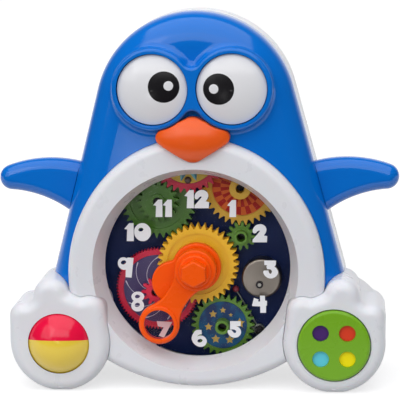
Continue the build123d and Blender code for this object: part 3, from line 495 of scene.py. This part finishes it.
# roller ball and finger dial
ballRed = {
    "name": "ballRed", "colour": (238, 8, 64), "cloud": 0.08, "gloss": 0.16, "haze": 0.06, "coat": 0.15,
}
ballYellow = {
    "name": "ballYellow", "colour": (240, 208, 62), "cloud": 0.08, "gloss": 0.22, "haze": 0.08, "coat": 0.3,
}
dialLime = {"name": "dialLime", "colour": (116, 172, 26), "cloud": 0.08, "gloss": 0.28, "shine": 0.35}
insertLook = {"cloud": 0.1, "gloss": 0.4, "shine": 0.25}
insertColours = {
    "purple": (72, 34, 112),
    "red": (228, 64, 34),
    "blue": (98, 208, 234),
    "yellow": (255, 234, 0),
}
dress(mouldedPlastic(ballRed), "ball_upper")
dress(mouldedPlastic(ballYellow), "ball_lower")
dress(mouldedPlastic(dialLime), "finger_dial")
for insertName, insertColour in insertColours.items():
    look = {"name": "insert" + insertName.title(), "colour": insertColour, **insertLook}
    dress(mouldedPlastic(look), insertName + "_insert")
print("feet toys dressed")


# pieces that this script adds
def addPiece(name, mesh, material, body):
    mesh.materials.clear()
    mesh.materials.append(material)
    piece = bpy.data.objects.new(name, mesh)
    bpy.context.scene.collection.objects.link(piece)
    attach(piece, body)


def meshOf(name, build):
    bmesh.ops.recalc_face_normals(build, faces=build.faces)
    mesh = bpy.data.meshes.new(name)
    build.to_mesh(mesh)
    build.free()
    return mesh


def ringOf(build, centre, reach, steps, depthAt):
    # points round the centre as seen from the front, each as deep as depthAt says
    row = []
    for step in range(steps):
        turn = 2 * math.pi * step / steps
        point = centre + Vector((math.cos(turn), math.sin(turn))) * reach
        row.append(build.verts.new((point.x, depthAt(point), point.y)))
    return row


def joinRings(build, rings, tip):
    # bands from ring to ring, then a fan from the last ring to the tip
    count = len(rings[0])
    for step in range(count):
        after = (step + 1) % count
        for near, far in zip(rings, rings[1:]):
            build.faces.new((near[step], far[step], far[after], near[after]))
        build.faces.new((rings[-1][step], tip, rings[-1][after]))


# printing: flat ink shapes drawn in the front view and raised a hair from what they lie on
printThickness = 0.08 * mm
curveSteps = 8  # straight pieces from one point of an outline to the next


def inkPiece(name, loops, centre, face, thickness, material, body):
    # loops hold (x, z, soft) points in metres about the centre; later loops inside the first are holes
    line = bpy.data.curves.new(name, "CURVE")
    line.dimensions = "2D"
    line.fill_mode = "BOTH"
    line.extrude = thickness / 2
    line.resolution_u = curveSteps
    for loop in loops:
        spline = line.splines.new("BEZIER")
        spline.bezier_points.add(len(loop) - 1)
        spline.use_cyclic_u = True
        for knot, (x, z, soft) in zip(spline.bezier_points, loop):
            knot.co = (x, z, 0)
            knot.handle_left_type = knot.handle_right_type = "AUTO" if soft else "VECTOR"
    drawn = bpy.data.objects.new(name + "Line", line)
    bpy.context.scene.collection.objects.link(drawn)
    bpy.context.view_layer.update()
    mesh = bpy.data.meshes.new_from_object(drawn.evaluated_get(bpy.context.evaluated_depsgraph_get()))
    bpy.data.objects.remove(drawn)
    bpy.data.curves.remove(line)
    stand = Matrix.Rotation(math.pi / 2, 4, "X")
    mesh.transform(Matrix.Translation((centre[0], face - thickness / 2, centre[1])) @ stand)
    addPiece(name, mesh, material, body)


def oval(x, z, wide, tall, lean=0.0, count=8):
    tilt = math.radians(lean)
    points = []
    for step in range(count):
        turn = 2 * math.pi * step / count
        u, v = wide * math.cos(turn), tall * math.sin(turn)
        across = u * math.cos(tilt) - v * math.sin(tilt)
        up = u * math.sin(tilt) + v * math.cos(tilt)
        points.append((x + across, z + up, 1))
    return points


# each digit's width and outlines in shares of its height, third value 1 where the outline runs smoothly
digitShapes = {
    "0": (0.92, [oval(0.46, 0.5, 0.46, 0.5), oval(0.37, 0.64, 0.14, 0.10, 12)]),
    "1": (0.52, [[
        (0.12, 0.0, 0), (0.51, 0.0, 0), (0.52, 1.0, 0), (0.28, 1.0, 0), (0.0, 0.68, 0), (0.16, 0.64, 0),
    ]]),
    "2": (0.80, [[
        (0.0, 0.0, 0), (0.78, 0.0, 0), (0.80, 0.34, 0), (0.62, 0.38, 0), (0.74, 0.58, 1), (0.75, 0.78, 1),
        (0.60, 0.96, 1), (0.38, 1.0, 1), (0.14, 0.89, 1), (0.02, 0.66, 1), (0.06, 0.51, 1), (0.17, 0.50, 1),
        (0.27, 0.60, 1), (0.38, 0.66, 0), (0.40, 0.60, 0), (0.24, 0.41, 0), (0.01, 0.15, 0),
    ]]),
    "3": (0.80, [[
        (0.06, 1.0, 0), (0.70, 1.0, 0), (0.68, 0.74, 0), (0.61, 0.67, 0), (0.73, 0.55, 1), (0.80, 0.36, 1),
        (0.74, 0.17, 1), (0.59, 0.05, 1), (0.38, 0.0, 1), (0.18, 0.07, 1), (0.04, 0.22, 1), (0.0, 0.36, 1),
        (0.03, 0.44, 0), (0.28, 0.45, 0), (0.33, 0.30, 1), (0.39, 0.26, 1), (0.46, 0.34, 1), (0.45, 0.45, 1),
        (0.36, 0.51, 1), (0.22, 0.51, 0), (0.17, 0.65, 0), (0.21, 0.74, 0), (0.06, 0.75, 0),
    ]]),
    "4": (0.85, [[
        (0.46, 0.0, 0), (0.79, 0.0, 0), (0.79, 0.41, 0), (0.84, 0.42, 0), (0.85, 0.70, 0), (0.74, 0.72, 0),
        (0.73, 1.0, 0), (0.45, 1.0, 0), (0.46, 0.66, 0), (0.35, 0.66, 0), (0.37, 0.78, 0), (0.11, 0.87, 0),
        (0.0, 0.44, 0), (0.02, 0.39, 0), (0.46, 0.37, 0),
    ]]),
    "5": (0.79, [[
        (0.15, 1.0, 0), (0.78, 1.0, 0), (0.77, 0.70, 0), (0.51, 0.70, 0), (0.70, 0.58, 1), (0.79, 0.36, 1),
        (0.71, 0.13, 1), (0.45, 0.0, 1), (0.18, 0.07, 1), (0.02, 0.27, 1), (0.0, 0.41, 1), (0.05, 0.46, 0),
        (0.23, 0.46, 0), (0.31, 0.36, 1), (0.41, 0.28, 1), (0.50, 0.34, 1), (0.46, 0.45, 1), (0.30, 0.50, 0),
        (0.14, 0.48, 0),
    ]]),
    "6": (0.87, [
        [
            (0.37, 1.0, 1), (0.58, 0.99, 0), (0.59, 0.75, 0), (0.43, 0.71, 1), (0.30, 0.60, 0),
            (0.46, 0.66, 1), (0.68, 0.63, 1), (0.83, 0.48, 1), (0.87, 0.33, 1), (0.78, 0.11, 1),
            (0.54, 0.0, 1), (0.24, 0.09, 1), (0.04, 0.34, 1), (0.01, 0.56, 1), (0.12, 0.81, 1),
            (0.23, 0.95, 1),
        ],
        oval(0.48, 0.36, 0.15, 0.10, 15),
    ]),
    "7": (0.91, [[
        (0.0, 1.0, 0), (0.91, 0.95, 0), (0.40, 0.0, 0), (0.10, 0.12, 0), (0.40, 0.62, 0), (0.06, 0.69, 0),
    ]]),
    "8": (0.65, [
        [
            (0.34, 1.0, 1), (0.57, 0.92, 1), (0.65, 0.77, 1), (0.60, 0.62, 1), (0.53, 0.54, 0),
            (0.60, 0.44, 1), (0.63, 0.27, 1), (0.54, 0.08, 1), (0.32, 0.0, 1), (0.08, 0.09, 1),
            (0.0, 0.28, 1), (0.05, 0.44, 1), (0.12, 0.54, 0), (0.05, 0.63, 1), (0.02, 0.77, 1),
            (0.11, 0.92, 1),
        ],
        oval(0.32, 0.76, 0.13, 0.09, 18),
        oval(0.30, 0.33, 0.13, 0.10, 18),
    ]),
    "9": (0.76, [
        [
            (0.35, 0.02, 0), (0.64, 0.0, 0), (0.76, 0.96, 0), (0.48, 0.98, 0), (0.43, 0.94, 0),
            (0.30, 0.99, 1), (0.09, 0.92, 1), (0.0, 0.70, 1), (0.07, 0.49, 1), (0.27, 0.38, 1),
            (0.37, 0.39, 0),
        ],
        oval(0.27, 0.74, 0.13, 0.095, 20),
    ]),
}
numeralInk = {
    "name": "numeralInk", "colour": (238, 240, 244), "cloud": 0.05, "gloss": 0.4, "haze": 0.1,
    "hours": 12, "ring": 49.7 * mm, "middle": Vector((0.4, 82.3)) * mm,
    "height": 12.8 * mm, "gap": 0.02, "thickness": 0.12 * mm,
    # by hour: share of the height, and how far in mm it stands off the even ring
    "sizes": {1: 0.94, 4: 0.96, 5: 0.93, 6: 0.96, 7: 0.94, 8: 1.12, 9: 1.15, 11: 0.96},
    "nudges": {
        1: (-0.7, 0.0), 2: (0.4, 0.8), 3: (1.0, 0.0), 4: (-0.3, 0.0), 7: (0.6, -0.3), 8: (0.2, 1.5),
        9: (-0.9, 1.2), 10: (1.3, 1.5), 11: (1.0, 0.2),
    },
}


def drawNumerals(style):
    ink = mouldedPlastic(style)
    face = frontOf("dial_lens")
    for hour in range(1, style["hours"] + 1):
        digits = str(hour)
        total = sum(digitShapes[digit][0] for digit in digits) + style["gap"] * (len(digits) - 1)
        tall = style["height"] * style["sizes"].get(hour, 1.0)
        turn = 2 * math.pi * hour / style["hours"]
        middle = style["middle"] + Vector((math.sin(turn), math.cos(turn))) * style["ring"]
        middle += Vector(style["nudges"].get(hour, (0, 0))) * mm
        pen = -total / 2
        for index, digit in enumerate(digits):
            wide, shapes = digitShapes[digit]
            loops = [
                [((x + pen) * tall, (z - 0.5) * tall, soft) for x, z, soft in shape]
                for shape in shapes
            ]
            name = "numeral" + digits + "abc"[index]
            inkPiece(name, loops, middle, face, style["thickness"], ink, "housing")
            pen += wide + style["gap"]


drawNumerals(numeralInk)
print("numerals drawn")


# label prints
starInk = {
    "name": "starInk", "colour": (206, 170, 74), "cloud": 0.15, "gloss": 0.35, "tips": 5, "waist": 0.5,
    # each star's angle on the label, its distance from the axle and its size in mm
    "stars": (
        (7, 12.0, 3.8), (52, 9.3, 1.5), (89, 10.7, 2.3), (131, 10.4, 2.9), (188, 10.3, 3.0),
        (243, 11.5, 3.3), (294, 11.7, 3.2),
    ),
}


def drawStars(style):
    ink = mouldedPlastic(style)
    centre = axisOf("star_spin")
    face = frontOf("star_label")
    for index, (angle, away, size) in enumerate(style["stars"]):
        turn = math.radians(angle)
        middle = centre + Vector((math.cos(turn), math.sin(turn))) * away * mm
        loop = []
        for corner in range(2 * style["tips"]):
            reach = size * mm * (1 if corner % 2 == 0 else style["waist"])
            aim = math.pi / 2 + math.pi * corner / style["tips"]
            loop.append((reach * math.cos(aim), reach * math.sin(aim), 0))
        inkPiece(f"star{index}", [loop], middle, face, printThickness, ink, "star_wheel")


checkInk = {
    "name": "checkInk", "colour": (172, 34, 28), "cloud": 0.15, "gloss": 0.4, "shine": 0.2,
    "edges": (7.4 * mm, 14.1 * mm, 19.6 * mm), "sectors": 32,
}


def drawChecks(style):
    ink = mouldedPlastic(style)
    centre = axisOf("checker_spin")
    face = frontOf("checker_label")
    step = 2 * math.pi / style["sectors"]
    for ring, (near, far) in enumerate(zip(style["edges"], style["edges"][1:])):
        build = bmesh.new()
        for sector in range(ring % 2, style["sectors"], 2):
            low, high = [], []
            for reach, turn in ((near, 0), (far, 0), (far, 1), (near, 1)):
                aim = step * (sector + turn)
                x, z = centre.x + reach * math.cos(aim), centre.y + reach * math.sin(aim)
                low.append(build.verts.new((x, face, z)))
                high.append(build.verts.new((x, face - printThickness, z)))
            build.faces.new(low)
            build.faces.new(high[::-1])
            for side in range(len(low)):
                build.faces.new((low[side], low[side - 1], high[side - 1], high[side]))
        name = f"checkRing{ring}"
        addPiece(name, meshOf(name, build), ink, "checker_wheel")


rayInk = {
    "name": "rayInk", "colour": (28, 112, 132), "cloud": 0.15, "gloss": 0.35,
    "count": 11, "inner": 7.2 * mm, "outer": 19.2 * mm, "halfWidth": 2.9 * mm, "waistShare": 0.42,
    "firstAngle": -104.6,
}
rayGlint = {"name": "rayGlint", "colour": (112, 186, 196), "cloud": 0.15, "gloss": 0.35}


def drawRays(style, glint):
    inks = (mouldedPlastic(style), mouldedPlastic(glint))
    centre = axisOf("sunburst_spin")
    face = frontOf("sunburst_label")
    waist = style["inner"] + (style["outer"] - style["inner"]) * style["waistShare"]
    for index in range(style["count"]):
        aim = Matrix.Rotation(math.radians(style["firstAngle"] + 360 * index / style["count"]), 2)
        for side, ink in zip((1, -1), inks):
            corners = ((style["inner"], 0), (waist, side * style["halfWidth"]), (style["outer"], 0))
            loop = [(*(aim @ Vector(corner)), 0) for corner in corners]
            name = f"ray{index}" + ("shade" if side > 0 else "light")
            inkPiece(name, [loop], centre, face, printThickness, ink, "sunburst_wheel")


swirlInk = {
    "name": "swirlInk", "colour": (222, 218, 232), "cloud": 0.1, "gloss": 0.35,
    "arms": 9, "points": 7, "inner": 6.2 * mm, "outer": 23.4 * mm, "halfWidth": 0.2 * mm,
    "firstAngle": 151.0, "sweep": -65.0,
}


def drawSwirl(style):
    ink = mouldedPlastic(style)
    centre = axisOf("red_spin")
    face = frontOf("swirl_label")
    last = style["points"] - 1
    for arm in range(style["arms"]):
        spine = []
        for step in range(style["points"]):
            share = step / last
            reach = style["inner"] + (style["outer"] - style["inner"]) * share
            aim = math.radians(style["firstAngle"] + 360 * arm / style["arms"] + style["sweep"] * share)
            spine.append(Vector((math.cos(aim), math.sin(aim))) * reach)
        sides = ([], [])
        for step, point in enumerate(spine):
            along = spine[min(step + 1, last)] - spine[max(step - 1, 0)]
            across = along.orthogonal().normalized() * style["halfWidth"]
            for side, sign in zip(sides, (1, -1)):
                side.append((*(point + across * sign), 1))
        loop = sides[0] + sides[1][::-1]
        inkPiece(f"swirlArm{arm}", [loop], centre, face, printThickness, ink, "red_wheel")


pegBrown = {
    "name": "pegBrown", "colour": (70, 42, 36), "cloud": 0.15, "gloss": 0.3,
    "drop": 17.6 * mm, "radius": 2.4 * mm, "tall": 1.6 * mm, "foot": 0.5 * mm,
    "rings": 6, "steps": 32, "sharp": 40.0,
}


def drawPeg(style):
    # a small domed pin that shows the gear going round
    centre = axisOf("sunburst_spin") - Vector((0, style["drop"]))
    face = frontOf("sunburst_label")
    dome = style["tall"] - style["foot"]
    outline = [(style["radius"], 0.0), (style["radius"], style["foot"])]
    for ring in range(1, style["rings"]):
        rise = math.pi / 2 * ring / style["rings"]
        outline.append((style["radius"] * math.cos(rise), style["foot"] + dome * math.sin(rise)))
    build = bmesh.new()
    rings = []
    for reach, height in outline:
        depth = face - height
        rings.append(ringOf(build, centre, reach, style["steps"], lambda point: depth))
    tip = build.verts.new((centre.x, face - style["tall"], centre.y))
    build.faces.new(rings[0])
    joinRings(build, rings, tip)
    mesh = meshOf("crankPeg", build)
    mesh.shade_smooth()
    mesh.set_sharp_from_angle(angle=math.radians(style["sharp"]))
    addPiece("crankPeg", mesh, mouldedPlastic(style), "sunburst_wheel")


# the bright end of the pin that carries the bell
bellPin = {"name": "bellPin", "radius": 1.25 * mm}


def drawBellPin(settings):
    low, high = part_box("bell_screw")
    middle = Vector((low.x + high.x, low.z + high.z)) / 2
    loop = oval(0, 0, settings["radius"], settings["radius"])
    inkPiece(settings["name"], [loop], middle, low.y, printThickness, plainSteel, "housing")


drawBellPin(bellPin)
drawStars(starInk)
drawChecks(checkInk)
drawRays(rayInk, rayGlint)
drawSwirl(swirlInk)
drawPeg(pegBrown)
print("label prints drawn")

# pupil glints, white spots that lie on the domed eyes
glintSpot = {
    "radius": 3.7 * mm, "outward": 3.3 * mm, "domeRise": 4.5 * mm, "raise": 0.1 * mm, "rimSink": 0.2 * mm,
    "rings": 5, "steps": 28,
}


def drawGlint(side, settings):
    pupilLow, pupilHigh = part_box(side + "_pupil")
    middle = (pupilLow + pupilHigh) / 2
    pupil = Vector((middle.x, middle.z))
    axle = axisOf(side + "_eye_spin")
    centre = pupil + (pupil - axle).normalized() * settings["outward"]
    eyeLow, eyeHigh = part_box(side + "_eye")
    edge = (eyeHigh.x - eyeLow.x) / 2
    rise = settings["domeRise"]
    crown = (edge**2 + rise**2) / (2 * rise)

    def skinDepth(point):
        reach = (point - axle).length
        return eyeLow.y + crown - math.sqrt(crown**2 - reach**2) - settings["raise"]

    def rimDepth(point):
        return skinDepth(point) + settings["rimSink"]

    build = bmesh.new()
    rings = []
    for ring in range(settings["rings"], 0, -1):
        reach = settings["radius"] * ring / settings["rings"]
        depthAt = rimDepth if ring == settings["rings"] else skinDepth
        rings.append(ringOf(build, centre, reach, settings["steps"], depthAt))
    joinRings(build, rings, build.verts.new((centre.x, skinDepth(centre), centre.y)))
    mesh = meshOf(side + "Glint", build)
    mesh.shade_smooth()
    addPiece(side + "Glint", mesh, whiteGloss, side + "_eye_works")


drawGlint("left", glintSpot)
drawGlint("right", glintSpot)
print("pupil glints drawn")


# studio, lengths in metres
studioSet = {
    "floorSize": 20.0,
    "floorFront": 0.2,
    "floorColour": (186, 186, 187),
    "floorRoughness": 0.9,
    "floorGlow": (0.66, 0.85),  # at the toy and far away
    "floorFade": (0.25, 1.6),  # where that change starts and ends
    "skyStrength": 0.33,
    "skyGloss": 0.05,
    "backdropEdges": (0.5, 0.95),  # share of +Y in the way that a mirrored ray looks
}
softBoxes = {
    "topBox": {
        "place": (0.0, -0.3, 1.3), "aim": (0.0, 0.0, 0.2),
        "wide": 1.9, "tall": 1.5, "power": 13.0, "shows": True,
    },
    "frontBox": {
        "place": (0.0, -1.8, 1.17), "aim": (0.0, 0.0, 0.15),
        "wide": 2.4, "tall": 0.98, "power": 12.2, "shows": True,
    },
    "keyBox": {
        "place": (-1.3, -1.3, 1.0), "aim": (0.0, 0.0, 0.13),
        "wide": 1.4, "tall": 1.4, "power": 7.0, "shows": True,
    },
    "fillBox": {
        "place": (1.3, -1.1, 0.6), "aim": (0.0, 0.0, 0.13),
        "wide": 0.5, "tall": 0.8, "power": 0.4, "shows": False,
    },
    "lowCard": {
        "place": (-0.118, -0.6, 0.062), "aim": (-0.04, 0.0, 0.16),
        "wide": 0.055, "tall": 0.09, "power": 0.035, "shows": True,
    },
}


def softBox(name, settings):
    lamp = bpy.data.lights.new(name, "AREA")
    lamp.shape = "RECTANGLE"
    lamp.size = settings["wide"]
    lamp.size_y = settings["tall"]
    lamp.energy = settings["power"]
    box = bpy.data.objects.new(name, lamp)
    box.location = settings["place"]
    sight = Vector(settings["aim"]) - Vector(settings["place"])
    box.rotation_euler = sight.to_track_quat("-Z", "Y").to_euler()
    box.visible_camera = False
    box.visible_glossy = settings["shows"]  # whether it makes a highlight
    bpy.context.scene.collection.objects.link(box)


def seenRays(tree):
    # rays that see the studio straight or through glass, and rays that see it mirrored
    path = addNode(tree, "ShaderNodeLightPath").outputs
    straight = mathNode(tree, "MAXIMUM", path["Is Camera Ray"], path["Is Transmission Ray"])
    return straight, path["Is Glossy Ray"]


def makeFloor(settings):
    half, near = settings["floorSize"] / 2, -settings["floorFront"]
    corners = [(-half, near, 0), (half, near, 0), (half, half, 0), (-half, half, 0)]
    mesh = bpy.data.meshes.new("studioFloor")
    mesh.from_pydata(corners, [], [(0, 1, 2, 3)])
    floor = bpy.data.objects.new("studioFloor", mesh)
    bpy.context.scene.collection.objects.link(floor)
    material, tree, shader = newMaterial("studioPaper")
    setSockets(shader, {
        "Base Color": linear(*settings["floorColour"]),
        "Roughness": settings["floorRoughness"],
    })
    reach = lengthNode(tree, addNode(tree, "ShaderNodeTexCoord").outputs["Object"])
    fade = smoothRamp(tree, reach, settings["floorFade"], settings["floorGlow"])
    seen = mathNode(tree, "MAXIMUM", *seenRays(tree))
    glow = addNode(tree, "ShaderNodeEmission")
    tree.links.new(mathNode(tree, "MULTIPLY", seen, fade), glow.inputs["Strength"])
    blend = addNode(tree, "ShaderNodeAddShader")
    tree.links.new(shader.outputs[0], blend.inputs[0])
    tree.links.new(glow.outputs[0], blend.inputs[1])
    tree.links.new(blend.outputs[0], tree.nodes["Material Output"].inputs["Surface"])
    mesh.materials.append(material)


def makeSky(settings):
    # a white backdrop behind the toy, a dimmer room in front of it
    world = bpy.data.worlds.new("studioSky")
    bpy.context.scene.world = world
    world.use_nodes = True
    tree = world.node_tree
    sky = tree.nodes["Background"]
    sky.inputs["Color"].default_value = (1, 1, 1, 1)
    straight, mirrored = seenRays(tree)
    split = addNode(tree, "ShaderNodeSeparateXYZ")
    tree.links.new(addNode(tree, "ShaderNodeTexCoord").outputs["Generated"], split.inputs[0])
    behind = smoothRamp(tree, split.outputs["Y"], settings["backdropEdges"], (settings["skyGloss"], 1.0))
    level = mixNode(tree, mirrored, settings["skyStrength"], behind)
    tree.links.new(mixNode(tree, straight, level, 1.0), sky.inputs["Strength"])


makeFloor(studioSet)
makeSky(studioSet)
for boxName, boxSet in softBoxes.items():
    softBox(boxName, boxSet)
bpy.context.scene.view_settings.view_transform = "Standard"
print("studio ready")
